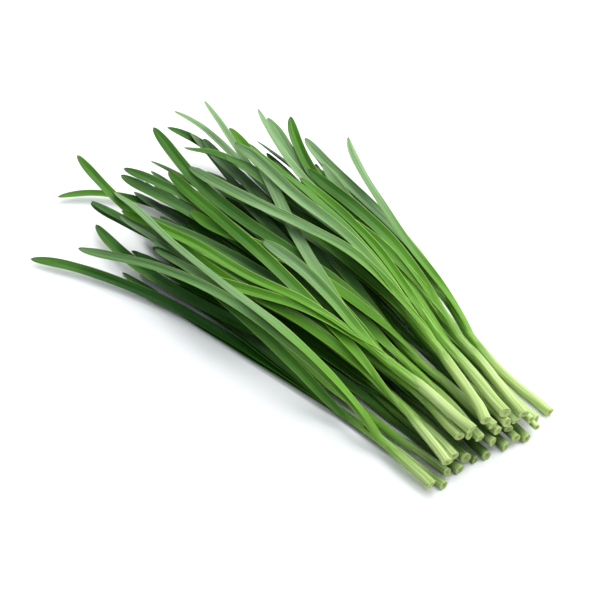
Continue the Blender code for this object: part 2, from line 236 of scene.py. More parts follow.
# How much of a leaf's tone it has in common with its whole shoot
SHARED_TONE = 0.4

# Colours, as linear red, green and blue
PALE_FOOT = ((0.50, 0.63, 0.28), (0.29, 0.43, 0.10))
STALK_GREEN = ((0.19, 0.38, 0.045), (0.09, 0.26, 0.012))
FRESH_GREEN = (0.08, 0.25, 0.004)
LEAF_DEEP = (0.010, 0.078, 0.001)
LEAF_LIGHT = (0.085, 0.24, 0.035)
LEAF_YELLOW = (0.075, 0.24, 0.0)
# The waxy colour is partly the leaves' real grey-green bloom and partly a painted sheen for their pale
# highlights
LEAF_WAX_AND_SHEEN = (0.35, 0.50, 0.30)
LEAF_VEIN = (0.11, 0.28, 0.04)
# The rim colour is partly the leaves' paler margins and partly a painted highlight along their edges
LEAF_RIM_AND_HIGHLIGHT = (0.34, 0.56, 0.12)
# Painted shade: the deep green painted on points that lie deep in the heap
PAINTED_SHADE_GREEN = (0.002, 0.058, 0.0)
TIP_DRY = (0.12, 0.12, 0.06)
CUT_PALE = (0.52, 0.66, 0.22)
CUT_DARK = (0.33, 0.48, 0.12)
CUT_BROWN = (0.24, 0.30, 0.07)
# Painted shade: the dark green painted on cut feet that lie deep in the heap
CUT_PAINTED_SHADE = (0.05, 0.13, 0.012)

# The skin's noises: how fast each changes for each millimetre across and along, and its detail, and how far
# apart the noises of two leaves may lie
FIBRE_GRAIN = (2.6, 0.03, 3.0)
BROAD_GRAIN = (0.9, 0.02, 2.0)
CLOUD_GRAIN = (0.2, 0.025, 1.0)
NOISE_APART = 40.0

# Where the skin's colours pass into each other, in millimetres past the mouth, and how far that place differs
# among the leaves
FOOT_TO_STALK = (-46.0, -4.0)
STALK_TO_FRESH = (-10.0, 30.0)
FRESH_TO_LEAF = (14.0, 95.0)
ON_LEAF = (-28.0, -22.0)
GREENING_SPREAD = 22.0

# The ramps of the skin: the values between which each runs and, where it isn't from 0 to 1, the shares that
# it passes between
BROAD_BANDS = (0.32, 0.68)
STALK_LINES = (0.5, 0.74, 0.0, 0.45)
LIGHT_CLOUDS = (0.3, 0.7, 0.0, 0.25)
YELLOW_LEAVES = (0.32, 0.08)
YELLOW_CLOUDS = (0.3, 0.6, 0.4, 1.0)
# The waxy ramps place the real bloom together with its painted sheen
WAX_AND_SHEEN_LEAVES = (0.35, 0.9)
WAX_AND_SHEEN_STREAKS = (0.3, 0.7, 0.25, 0.85)
LEAF_MOTTLES = (0.4, 0.68, 0.0, 0.45)
LEAF_STREAKS = (0.5, 0.68, 0.0, 0.4)
VEIN_LINES = (0.3, 1.0, 0.0, 0.3)
MIDRIB = (0.0, 0.1, 0.3, 0.0)
# The rim ramps place the paler margins with their painted edge highlight, strongest near the neck
RIM_AND_HIGHLIGHT = (0.86, 1.0)
RIM_HIGHLIGHT_FADES = (10.0, 150.0, 0.95, 0.4)
DRY_END = (0.88, 0.99)
SKIN_ROUGHNESS = (0.2, 0.8, 0.4, 0.55)

# Shares and strengths of the skin: how much the draw lightens a leaf, how dark the deepest painted shade is,
# the veins in radians for each millimetre, the streaks' relief beside the veins', and the bump's depth in
# metres and its strength
LIGHT_SHARE = 0.75
PAINTED_SHADE_SHARE = 0.8
VEINS = 9.0
STREAK_RELIEF = 3.0
SKIN_BUMP = (0.00006, 0.45)
SKIN_SPECULAR = 0.24
SKIN_SUBSURFACE = 0.06
SKIN_SUBSURFACE_RADIUS = (0.5, 1.0, 0.2)
SUBSURFACE_SCALE = 0.001

# The cut: the bands of its rings, its specks, its painted shade, its bump and its moist surface
CUT_WAVES = 34.0
CUT_BANDS = (-0.6, 0.8)
CUT_GRAIN = (1.6, 3.0)
CUT_SPECKS = (0.5, 0.8, 0.0, 0.5)
CUT_PAINTED_SHADE_SHARE = 0.55
CUT_BUMP = (0.0001, 0.5)
CUT_ROUGHNESS = 0.4
CUT_SUBSURFACE = 0.2

# The floor, in metres, a tenth of a millimetre below the lowest stalks and leaves so that no faces coincide
FLOOR_SIZE = 6.0
FLOOR_DROP = 0.0001
FLOOR_WHITE = (0.885, 0.89, 0.92)
FLOOR_ROUGHNESS = 0.8
FLOOR_SPECULAR = 0.2

# The camera: the point of the layout that it looks at and its distance, in metres, its height above the table
# and its turn as angles, its field of view and its sensor in millimetres
AIM = (0.163, 0.007, 0.0)
VIEW_DISTANCE = 1.0
VIEW_HEIGHT = math.radians(45)
VIEW_TURN = math.radians(-40)
VIEW_FIELD = math.radians(19.07)
SENSOR = 36.0

# The lights: how far each stands to the right of, behind and above the bunch, in metres, its size, its power
# and its colour
LIGHTS = (
    ("key", (0.35, 0.95, 1.25), 2.0, 33.0, (1.0, 0.99, 0.95)),
    ("top", (0.1, -0.2, 1.6), 1.8, 18.0, (0.96, 0.98, 1.0)),
    ("side", (1.5, 0.0, 0.7), 1.0, 10.0, (1.0, 1.0, 0.98)),
)
WORLD_COLOUR = (0.93, 0.97, 0.97, 1.0)
WORLD_STRENGTH = 0.33

SEED = 12
LOOK_SEED = 5

# The shoots, in the order they are laid down. Each row has the middle of the cut foot, the mouth where the
# leaves part, the stalk's thickness as a share of the usual one, the number of leaves, and the tips of the
# leaves that are seen, as (x, y, height above the table, direction in degrees from the x axis). A height of
# 0 lets the leaf droop on to whatever lies below it. A fifth number is how far the tip is rolled, in
# degrees, where that is seen. A third number at a mouth is the stalk's direction there, where it isn't the
# usual one.
SHOOTS = (
    ((13, 38), (70, 44), 0.95, 4, ((284, 106, 4, 40, -20), (238, 62, 0, 8), (205, 57, 0, 10))),
    ((16, 33), (67, 38), 0.90, 4, ((219, 60, 0, 19), (238, 27, 0, -3), (250, 45, 0, 4))),
    ((15, 25), (72, 29), 1.08, 4, ((249, 60, 8, 10), (280, 63, 8, -10), (240, 37, 0, 2))),
    ((16, 20), (74, 20), 1.08, 4, ((272, 40, 6, 8), (240, 40, 0, 0))),
    ((19, 26), (69, 27), 0.95, 4, ((243, 60, 0, 7), (234, 12, 0, -3), (264, 19, 0, 2))),
    ((15, 14), (68, 12), 0.80, 4, ((318, 64, 4, 66), (262, 30, 0, -3), (292, 27, 0, 2))),
    ((13, 8), (74, 4), 1.00, 4, ((292, 14, 14, -1), (270, -6, 0, -8), (283, 22, 0, 4))),
    ((17, 28), (70, 25), 1.00, 4, ((258, 44, 0, -3), (230, 34, 0, -3), (244, 24, 0, 0))),
    ((11, -4), (78, -8), 1.00, 4, ((317, -17, 15, 20), (286, 22, 0, -8), (288, -16, 0, -4))),
    ((10, -10), (70, -14), 0.90, 4, ((303, -24, 15, -11), (262, -40, 0, -8), (280, -28, 0, -8))),
    ((14, 3), (72, 9), 0.95, 4, ((282, 20, 0, -6), (232, 16, 0, -3), (266, 2, 0, -4))),
    ((8, -16), (76, -24), 1.00, 4, ((270, -45, 16, -15), (240, -54, 0, -12), (280, -42, 0, -9))),
    ((14, -29), (80, -38, -13), 1.00, 4, ((236, -66, 12, -25), (200, -66, 0, -12), (226, -73, 0, -12))),
    ((8, -23), (74, -33), 0.70, 4, ((250, -70, 20, -11), (215, -60, 0, -12), (246, -60, 0, -12))),
    ((13, -38), (92, -48, -17), 1.05, 4,
     ((205, -58, 0, -15), (249, -69, 22, -14, -15), (217, -75, 40, -38, 30))),
    ((11, -21), (74, -29), 0.80, 4, ((262, -50, 0, -12), (226, -58, 0, -12), (240, -42, 0, -8))),
    ((16, 11), (78, 6), 1.00, 3, ((268, 2, 20, -3), (300, 30, 10, 4))),
    ((15, -1), (76, -2), 1.00, 4, ((274, -52, 12, 2), (250, -20, 0, -10), (264, -54, 30, -12))),
    ((14, -8), (84, -18), 0.90, 3, ((278, -36, 22, -3), (262, -12, 0, -8))),
    ((19, 16), (80, 14), 0.90, 4, ((298, 29, 16, 16, -25), (291, 58, 14, 7))),
    ((20, 22), (71, 19), 1.00, 4, ((290, 58, 16, 6), (305, 55, 40, -11, -20), (293, 13, 20, 15))),
    ((16, 2), (84, 0), 1.00, 4, ((301, 4, 36, -12, -28), (311, -19, 30, 14), (240, 24, 0, -3))),
    ((14, -6), (86, -12), 1.00, 4, ((295, -30, 42, -16, 20), (281, -3, 25, 24, 12))),
    ((13, -12), (84, -22), 0.90, 4, ((254, -13, 36, 4), (269, -57, 25, -19))),
    ((11, -15), (82, -28), 1.08, 4, ((258, -65, 35, -34, -32), (216, -43, 34, -1), (238, -35, 30, -10))),
    ((14, 36), (68, 28), 1.00, 3, ((271, 16, 28, -4), (255, 62, 20, 9), (230, 54, 0, 2))),
    ((16, -6), (82, -15), 1.12, 3, ((277, -56, 34, -24, 24), (224, -22, 36, -10), (209, -32, 30, -3))),
    ((16, 18), (81, 20), 1.12, 4,
     ((200, 66, 28, 34), (254, 61, 30, 14), (237, -23, 30, -18), (185, 16, 32, 11))),
    ((16, 8), (83, -9), 1.08, 4, ((251, -29, 36, -1), (256, -22, 30, -7), (262, 8, 30, 5))),
    ((15, 45), (65, 46), 1.05, 4, ((222, 62, 0, 4), (262, 87, 16, 20), (268, 56, 24, -5))),
)


class Pile:
    """The height of what lies on the table so far, over a grid of square cells."""

    def __init__(self):
        self.top = np.full(PILE_SIZE, -CLEARANCE)

    def cells(self, points):
        found = np.floor((points[..., :2] - PILE_FROM) / CELL).astype(int)
        return np.clip(found, 1, np.array(PILE_SIZE) - 2)

    def height_under(self, points):
        i, j = np.moveaxis(self.cells(points), -1, 0)
        return self.top[i, j]

    def cover(self, points):
        """Raises the cells under these points, and the cells beside them, to the points' height."""
        i, j = np.moveaxis(self.cells(points), -1, 0)
        for di in (-1, 0, 1):
            for dj in (-1, 0, 1):
                np.maximum.at(self.top, (i + di, j + dj), points[..., 2])


def smooth_step(u):
    u = np.clip(u, 0.0, 1.0)
    return u * u * (3 - 2 * u)


def plan_curve(start, heading, end, lean, at):
    """Points and left-hand normals, at these lengths, of a curve from start to end.

    It leaves start along heading, a unit vector, and comes to end at lean degrees from the x axis.
    """
    start, end = np.array(start, float), np.array(end, float)
    reach = np.linalg.norm(end - start)
    tip_heading = np.array(unit(lean))
    first = start + np.array(heading) * reach * ROOT_PULL
    second = end - tip_heading * reach * TIP_PULL
    t = np.linspace(0, 1, PATH_SAMPLES)[:, None]
    line = (1 - t) ** 3 * start + 3 * t * (1 - t) ** 2 * first
    line += 3 * t**2 * (1 - t) * second + t**3 * end
    slope = (1 - t) ** 2 * (first - start) + 2 * t * (1 - t) * (second - first) + t**2 * (end - second)
    length = np.concatenate([[0], np.cumsum(np.linalg.norm(np.diff(line, axis=0), axis=1))])
    normal = np.stack([-slope[:, 1], slope[:, 0]], 1) / np.linalg.norm(slope, axis=1)[:, None]
    share = np.array(at) / at[-1] * length[-1]
    columns = [np.interp(share, length, column) for column in (*line.T, *normal.T)]
    return np.stack(columns[:2], 1), np.stack(columns[2:], 1)


def solid_points(middle, normal, rings):
    """The corners of each cross-section, from its (across, up) pairs in the upright plane across the curve."""
    flat = middle[:, None, :2] + normal[:, None, :] * rings[..., :1]
    return np.concatenate([flat, middle[:, None, 2:] + rings[..., 1:]], axis=2)


def between(values, t):
    """values at the fractional station numbers t, in straight runs from station to station."""
    k = np.clip(t.astype(int), 0, len(values) - 2)
    share = (t - k).reshape((-1,) + (1,) * (values.ndim - 1))
    return values[k] * (1 - share) + values[k + 1] * share


def skin_samples(points, t, around=3):
    """Points spread over the faceted skin: at the fractional stations t, and around of them on each side."""
    along = between(points, t)
    after = np.roll(along, -1, axis=1)
    return np.concatenate([along + (after - along) * i / around for i in range(around)], axis=1)


def rest(need, at, bend_radius):
    """The lowest smooth line that lies on the supports and sags no faster than the bend radius allows."""
    gap = at[:, None] - at[None, :]
    line = (need[None, :] - gap**2 / (2 * bend_radius)).max(axis=1)
    weight = np.exp(-((gap / SMOOTHING) ** 2) / 2)
    return weight @ line / weight.sum(axis=1)


def lift_clear(heights, need, t):
    """Raises the stations until the straight runs between them clear every support."""
    heights = heights.copy()
    k = np.clip(t.astype(int), 0, len(heights) - 2)
    share = t - k
    for _ in range(LIFT_ROUNDS):
        short = np.maximum(need - between(heights, t), 0)
        if short.max() < LIFT_ENOUGH:
            break
        push = np.zeros(len(heights))
        np.maximum.at(push, k, short * (1 - share) * LIFT_SHARE)
        np.maximum.at(push, k + 1, short * share * LIFT_SHARE)
        heights += push
    return heights


def stalk_rings(at, radius):
    """Rings with a flat side down, narrower towards the mouth."""
    corner = (np.arange(STALK_SIDES) + 0.5) * math.tau / STALK_SIDES
    taper = smooth_step((at - at[-1] + MOUTH_TAPER) / MOUTH_TAPER)
    size = radius / math.cos(math.pi / STALK_SIDES) * (1 - (1 - MOUTH_SHARE) * taper)
    ring = np.stack([-np.cos(corner), np.sin(corner)], 1)
    return size[:, None, None] * ring


def leaf_rings(at, width, roll):
    """Four-cornered rings of a channelled blade: left edge, channel, right edge and keel."""
    length = at[-1]
    opened = smooth_step(at / LEAF_OPENED)
    to_tip = np.clip((length - at) / TIP_TAPER, 0, 1)
    blunt = (1 - (1 - to_tip) ** 2) ** TIP_POWER * (1 - TIP_END) + TIP_END
    sheathed = smooth_step(at / LEAF_ROOT)
    share = WIDTH_SHARES[0] + WIDTH_SHARES[1] * sheathed + WIDTH_SHARES[2] * opened
    half = width / 2 * share * blunt
    fold = np.radians(FOLD[0] + (FOLD[1] - FOLD[0]) * opened)
    keel = LEAF_THICKNESS * (KEEL_SHARES[0] + KEEL_SHARES[1] * np.sqrt(blunt))
    edge = np.stack([half * np.cos(fold), half * np.sin(fold)], 1)
    flat = np.stack([edge * (-1, 1), edge * 0, edge, np.stack([0 * keel, -keel], 1)], 1)
    c, s = np.cos(roll)[:, None], np.sin(roll)[:, None]
    return np.stack([flat[..., 0] * c - flat[..., 1] * s, flat[..., 0] * s + flat[..., 1] * c], 2)


def leaf_stations(length):
    """Lengths along a leaf: close together where it opens at the root and narrows at the tip."""
    tip = length - np.array(TIP_STATIONS)
    runs = max(FEWEST_RUNS, round((tip[0] - ROOT_STATIONS[-1]) / STATION_GAP))
    middle = np.linspace(ROOT_STATIONS[-1], tip[0], runs + 1)[1:-1]
    return np.concatenate([ROOT_STATIONS, middle, tip])


def mouth_lean(foot, mouth, tips):
    """The stalk's direction and its direction at the mouth, part-way to the leaves' own, in degrees."""
    straight = math.degrees(math.atan2(mouth[1] - foot[1], mouth[0] - foot[0]))
    if len(mouth) > 2:
        return straight, mouth[2]
    leaves = [math.degrees(math.atan2(tip[1] - mouth[1], tip[0] - mouth[0])) for tip in tips]
    return straight, straight + BEND_SHARE * (sum(leaves) / len(leaves) - straight)


def unit(degrees):
    return math.cos(math.radians(degrees)), math.sin(math.radians(degrees))


def lay_stalk(pile, foot, mouth, straight, lean, radius):
    """One stalk, resting on the pile along its length and a little way ahead of its mouth."""
    length = math.dist(foot, mouth[:2])
    heading = unit(2 * straight - lean)
    at = np.array([*(length * share for share in STALK_STATIONS), length - MOUTH_TAPER, length - LIP, length])
    plan, normal = plan_curve(foot, heading, mouth[:2], lean, at)
    rings = stalk_rings(at, radius)
    level = np.column_stack([plan, np.zeros(len(at))])
    t = np.linspace(0, len(at) - 1, STALK_SAMPLES)
    skin = skin_samples(solid_points(level, normal, rings), t)
    need = (pile.height_under(skin) + CLEARANCE - skin[..., 2]).max(axis=1)
    fine = between(at, t)
    ahead = np.arange(AHEAD_STEP, AHEAD, AHEAD_STEP)
    path = np.array(mouth[:2]) + ahead[:, None] * unit(lean)
    beside = np.array([[-1], [0], [1]]) * radius * normal[-1]
    need_ahead = pile.height_under(path[:, None] + beside).max(axis=1) + CLEARANCE + LEAF_THICKNESS
    line = rest(np.append(need, need_ahead), np.append(fine, length + ahead), STALK_BEND_RADIUS)
    heights = np.interp(at, fine, line[: len(fine)])
    level[:, 2] = lift_clear(heights, need, t)
    points = solid_points(level, normal, rings)
    made = {
        "at": at,
        "height": level[:, 2],
        "start": foot,
        "heading": heading,
        "end": mouth[:2],
        "lean": lean,
        "radius": radius,
        "points": points,
    }
    return at, level, made, skin_samples(points, t)


def lay_leaf(pile, own, root, heading, tip, width, roll, order):
    """One leaf, from its root inside the stalk to its tip, resting on the pile and on its elder sisters."""
    length = float(np.linalg.norm(np.subtract(tip[:2], root[:2]))) * CURVE_ALLOWANCE
    at = leaf_stations(length)
    plan, normal = plan_curve(root[:2], heading, tip[:2], tip[3], at)
    turn = np.radians(roll[0] + (roll[1] - roll[0]) * smooth_step(at / length))
    rings = leaf_rings(at, width, turn)
    level = np.column_stack([plan, np.zeros(len(at))])
    t = np.linspace(0, len(at) - 1, LEAF_SAMPLES)
    skin = skin_samples(solid_points(level, normal, rings), t)
    fine = between(at, t)
    start = root[2] + LEAF_SPACING * order
    free = smooth_step((fine - SISTERS_PART[0]) / (SISTERS_PART[1] - SISTERS_PART[0]))
    need_pile = (pile.height_under(skin) + CLEARANCE - skin[..., 2]).max(axis=1)
    need_own = (own.height_under(skin) - skin[..., 2]).max(axis=1) - SISTERS_OVERLAP * (1 - free)
    need = np.maximum(need_pile, need_own)
    if tip[2]:
        natural = start + (tip[2] - start) * (fine / length) ** TIP_LIFT
    else:
        natural = start - fine**2 / (2 * DROOP_RADIUS)
    line = rest(np.maximum(need, natural), fine, LEAF_BEND_RADIUS)
    line += (start - line[0]) * np.exp(-fine / ROOT_EASE)
    level[:, 2] = lift_clear(np.interp(at, fine, line), np.where(fine > LEAF_ROOT, need, -np.inf), t)
    points = solid_points(level, normal, rings)
    made = {
        "at": at,
        "height": level[:, 2],
        "start": root[:2],
        "heading": heading,
        "end": tip[:2],
        "lean": tip[3],
        "roll": roll,
        "width": width,
        "points": points,
    }
    return made, skin_samples(points, t), line.mean()


def hidden_tip(draw, mouth, tips):
    """A tip for a hidden leaf: shorter than a seen one and swung mostly towards the bunch's middle."""
    seen = np.array(tips[draw.integers(len(tips))][:2]) - mouth[:2]
    inward = -1 if seen[1] > 0 else 1
    swing = math.radians(draw.uniform(*HIDDEN_SWING)) * inward
    reach = seen * draw.uniform(*HIDDEN_REACH)
    along = mouth[0] + reach[0] * math.cos(swing) - reach[1] * math.sin(swing)
    aside = mouth[1] + reach[0] * math.sin(swing) + reach[1] * math.cos(swing)
    near_edge = NEAR_EDGE[0] + (along - MOUTH_AT) * NEAR_EDGE[1]
    lean = math.degrees(math.atan2(aside - mouth[1], along - mouth[0]))
    lean += draw.uniform(-HIDDEN_LEAN, HIDDEN_LEAN)
    return along, min(max(aside, FAR_EDGE), near_edge), 0, lean


def lay_shoots():
    """Lays the whole bunch and gives {name: (stalk, leaves)}, as the numbers that the smooth forms need."""
    draw = np.random.default_rng(SEED)
    pile = Pile()
    laid = {}
    for number, (foot, mouth, girth, count, tips) in enumerate(SHOOTS, 1):
        radius = STALK_RADIUS * girth
        straight, lean = mouth_lean(foot, mouth, tips)
        at, level, stalk, skin = lay_stalk(pile, foot, mouth, straight, lean, radius)
        leaves = []
        covers = [skin]
        own = Pile()
        root_at = at[-1] - LEAF_ROOT
        root = [np.interp(root_at, at, level[:, i]) for i in range(3)]
        hidden = count - len(tips)
        for k in range(count):
            width = LEAF_WIDTH * draw.uniform(*WIDTH_DRAW)
            order = k - (count - 1) / 2
            ways = []
            for _ in range(TRIES):
                if k < hidden:
                    tip = hidden_tip(draw, mouth, tips)
                else:
                    tip = tips[k - hidden]
                roll = draw.uniform(-1, 1, 2) * (ROLL, TIP_ROLL if tip[2] else ROLL)
                if len(tip) > 4:
                    roll[1] = tip[4]
                ways.append(lay_leaf(pile, own, root, unit(lean), tip, width, roll, order))
            leaf, leaf_skin, _ = min(ways, key=itemgetter(2))
            own.cover(leaf_skin)
            leaves.append(leaf)
            covers.append(leaf_skin)
        for cover in covers:
            pile.cover(cover)
        laid[f"shoot_{number:02d}"] = (stalk, leaves)
    return laid, pile


def bunch_origin(laid):
    """The point on the table under the middle of the faceted bunch, which the solids have as their origin."""
    parts = [part for stalk, leaves in laid.values() for part in (stalk, *leaves)]
    every = np.concatenate([part["points"].reshape(-1, 3) for part in parts])
    low, high = every.min(axis=0), every.max(axis=0)
    return np.array([(low[0] + high[0]) / 2, (low[1] + high[1]) / 2, low[2]])


def through(at, values, fine):
    """A smooth curve through the values at the stations."""
    slope = np.gradient(values, at)
    k = np.clip(np.searchsorted(at, fine, side="right") - 1, 0, len(at) - 2)
    gap = at[k + 1] - at[k]
    u = (fine - at[k]) / gap
    bend = (u**3 - 2 * u**2 + u) * gap * slope[k] + (u**3 - u**2) * gap * slope[k + 1]
    return values[k] * (1 - smooth_step(u)) + values[k + 1] * smooth_step(u) + bend


def wave(at, size, draw):
    """A wave along a length, from its height and its length for a radian, begun at a drawn place."""
    height, reach = size
    return height * np.sin(at / reach + draw.uniform(0, math.tau))


def on_skin(points, *columns):
    """A row of numbers for each point of a skin, from columns that spread over its rings and corners."""
    return np.stack([np.broadcast_to(column, points.shape[:2]) for column in columns], axis=2)


def blade_rings(at, width, roll, draw):
    """Rounded rings of a channelled blade with thin edges, as (across, up) from the leaf's middle line."""
    opened = smooth_step(at / LEAF_OPENED)
    to_tip = np.clip((at[-1] - at) / TIP_TAPER, 0, 1)
    blunt = (1 - (1 - to_tip) ** 2) ** TIP_POWER * (1 - BLADE_END) + BLADE_END
    share = BLADE_SHARES[0] + BLADE_SHARES[1] * smooth_step(at / LEAF_ROOT) + BLADE_SHARES[2] * opened
    half = width / 2 * share * blunt * (1 + wave(at, WIDTH_WAVE, draw))
    fold = draw.uniform(*BLADE_FOLD) + wave(at, FOLD_WAVE, draw)
    fold = np.radians(fold * (FOLD_AT_TIP + (1 - FOLD_AT_TIP) * to_tip))
    keel = BLADE_KEEL[0] + BLADE_KEEL[1] * np.sqrt(blunt)
    out = np.abs(ACROSS)
    depth = np.where(ON_TOP, 0, 1 - out**UNDER_POWER)
    drop = np.where(ON_TOP, 0, EDGE_THICKNESS)
    ripple = wave(at, RIPPLE, draw)[:, None] * out**RIPPLE_POWER * np.sign(ACROSS)
    x = (half * np.cos(fold))[:, None] * ACROSS
    z = (half * np.sin(fold))[:, None] * out**CHANNEL_POWER + ripple
    z -= (keel - EDGE_THICKNESS)[:, None] * depth + drop * np.sqrt(blunt)[:, None]
    c, s = np.cos(roll)[:, None], np.sin(roll)[:, None]
    return np.stack([x * c - z * s, x * s + z * c], 2)


def wrapped_rings(past, radius, facing):
    """The same corners as a piece of the stalk's sheath, facing that many degrees to the left of straight up.

    Its middle comes out of the stalk first and its edges later, so it parts from the stalk in a long V. The
    lengths count from where the sheath begins.
    """
    angle = np.radians(facing + WRAP_HALF * ACROSS)
    out = smooth_step(past / WRAP_OUT)[:, None]
    later = np.abs(ACROSS) ** WRAP_POWER * (1 - smooth_step(past / WRAP_EDGES_OUT)[:, None])
    reach = radius * (WRAP_REACH[0] + (WRAP_REACH[1] - WRAP_REACH[0]) * out - WRAP_TUCK * later)
    reach = reach - np.where(ON_TOP, 0, WRAP_THICKNESS)
    return np.stack([reach * np.sin(angle), reach * np.cos(angle)], 2)


def blade(leaf, stalk, facing, rise, draw):
    """Points of one leaf's skin, and for each point its place on the leaf: across, side, along, edge and tip.

    The leaf starts low on the stalk as a piece of its sheath, facing that way, follows the stalk to the
    mouth, and then unwraps into its own channelled blade.
    """
    length = leaf["at"][-1]
    count = round(length / LEAF_STEP)
    ends = np.sin(np.linspace(-math.pi / 2, math.pi / 2, count)) / 2 + 0.5
    at = length * ((1 - CLOSER_AT_ENDS) * np.linspace(0, 1, count) + CLOSER_AT_ENDS * ends)
    plan, normal = plan_curve(leaf["start"], leaf["heading"], leaf["end"], leaf["lean"], at)
    first_roll, last_roll = leaf["roll"]
    roll = np.radians(first_roll + (last_roll - first_roll) * smooth_step(at / length))
    roll += np.radians(wave(at, TWIST, draw)) * smooth_step(at / LEAF_OPENED)
    rings = blade_rings(at, leaf["width"], roll, draw)
    own = smooth_step((at - UNWRAP[0]) / (UNWRAP[1] - UNWRAP[0]))
    wrapped = wrapped_rings(at + SHEATH, stalk["radius"], facing)
    rings = rings * own[:, None, None] + wrapped * (1 - own)[:, None, None]
    height = through(leaf["at"], leaf["height"], at) - rise * (1 - own)
    before = np.arange(-SHEATH, -LEAF_STEP / 2, LEAF_STEP)
    on_stalk = stalk["at"][-1] - LEAF_ROOT + before
    low_plan, low_normal = stalk_line(stalk, np.append(on_stalk, stalk["at"][-1]))
    low_height = through(stalk["at"], stalk["height"], on_stalk)
    middle = np.column_stack([np.concatenate([low_plan[:-1], plan]), np.concatenate([low_height, height])])
    rings = np.concatenate([wrapped_rings(before + SHEATH, stalk["radius"], facing), rings])
    at = np.concatenate([before, at])
    points = solid_points(middle, np.concatenate([low_normal[:-1], normal]), rings)
    across = ACROSS * leaf["width"] / 2
    side = np.where(ON_TOP, 1.0, -1.0)
    tip = np.clip(1 - (length - at) / TIP_TAPER, 0, 1)
    return points, on_skin(points, across, side, (at - LEAF_ROOT)[:, None], np.abs(ACROSS), tip[:, None])


def stalk_line(stalk, at):
    return plan_curve(stalk["start"], stalk["heading"], stalk["end"], stalk["lean"], at)


def stem(stalk, draw):
    """Points of a sheathed stalk's skin, ringed at its cut foot, and each point's place on the stalk."""
    length = stalk["at"][-1]
    at = np.linspace(0, length, round(length / STALK_STEP))
    plan, normal = stalk_line(stalk, at)
    turn = np.arange(STALK_CORNERS) * math.tau / STALK_CORNERS
    taper = smooth_step((at - length + STALK_TAPER) / STALK_TAPER)
    flare = 1 + FLARE[0] * np.exp(-at / FLARE[1]) - NARROWING * at / length
    size = stalk["radius"] * (1 - (1 - STALK_MOUTH) * taper) * flare
    size *= 1 + wave(at, GIRTH_WAVE, draw) * smooth_step(at / GIRTH_EVEN)
    phase = draw.uniform(0, math.tau, 3)
    sheath = (turn + phase[0] + at[:, None] / SHEATH_TURN) % math.tau / math.tau
    ridge = SHEATH_EDGE[0] * sheath ** SHEATH_EDGE[1] - RIDGE_DROP
    ridge += RIDGES[0] * np.cos(RIDGES[1] * turn + phase[1]) + OVAL[0] * np.cos(OVAL[1] * turn + phase[2])
    reach = size[:, None] * (1 + ridge)
    rings = np.stack([reach * np.cos(turn), reach * np.sin(turn)], 2)
    middle = np.column_stack([plan, through(stalk["at"], stalk["height"], at)])
    free = smooth_step(at / SWAY_ENDS[0]) * smooth_step((length - at) / SWAY_ENDS[1])
    middle[:, :2] += normal * (wave(at, SWAY, draw) * free)[:, None]
    points = solid_points(middle, normal, rings)
    heading = np.array([*stalk["heading"], 0.0])
    points[0] -= heading * (rings[0] @ draw.uniform(-CUT_TILT, CUT_TILT, 2))[:, None]
    inward = CUT_RINGS[::-1]
    cut = [middle[0] + (points[0] - middle[0]) * share + heading * depth for share, depth in inward]
    points = np.concatenate([np.array(cut), points[1:]])
    along = np.concatenate([np.zeros(len(inward) - 1), at]) - length
    edge = np.zeros(len(along))
    edge[: len(inward)] = [share for share, _ in inward]
    return points, on_skin(points, turn * stalk["radius"], phase[0], along[:, None], edge[:, None], 0.0)


def painted_shade_map(pile):
    """The height of the finished heap, evened out over several millimetres, from which the painted shade is
    made.
    """
    top = np.maximum(pile.top, 0)
    for step in PAINTED_SHADE_STEPS:
        top = (top + np.roll(top, step, 0) + np.roll(top, -step, 0)) / 3
        top = (top + np.roll(top, step, 1) + np.roll(top, -step, 1)) / 3
    pile.top = top
    return pile


def ring_faces(stations, corners, first):
    """Faces of a tube of rings with both ends closed, numbered from first."""
    i, a = np.meshgrid(np.arange(stations - 1), np.arange(corners), indexing="ij")
    here = first + i * corners + a
    beside = first + i * corners + (a + 1) % corners
    faces = np.stack([here, beside, beside + corners, here + corners], -1).reshape(-1, 4).tolist()
    last = first + (stations - 1) * corners
    return faces + [list(range(first + corners - 1, first - 1, -1)), list(range(last, last + corners))]


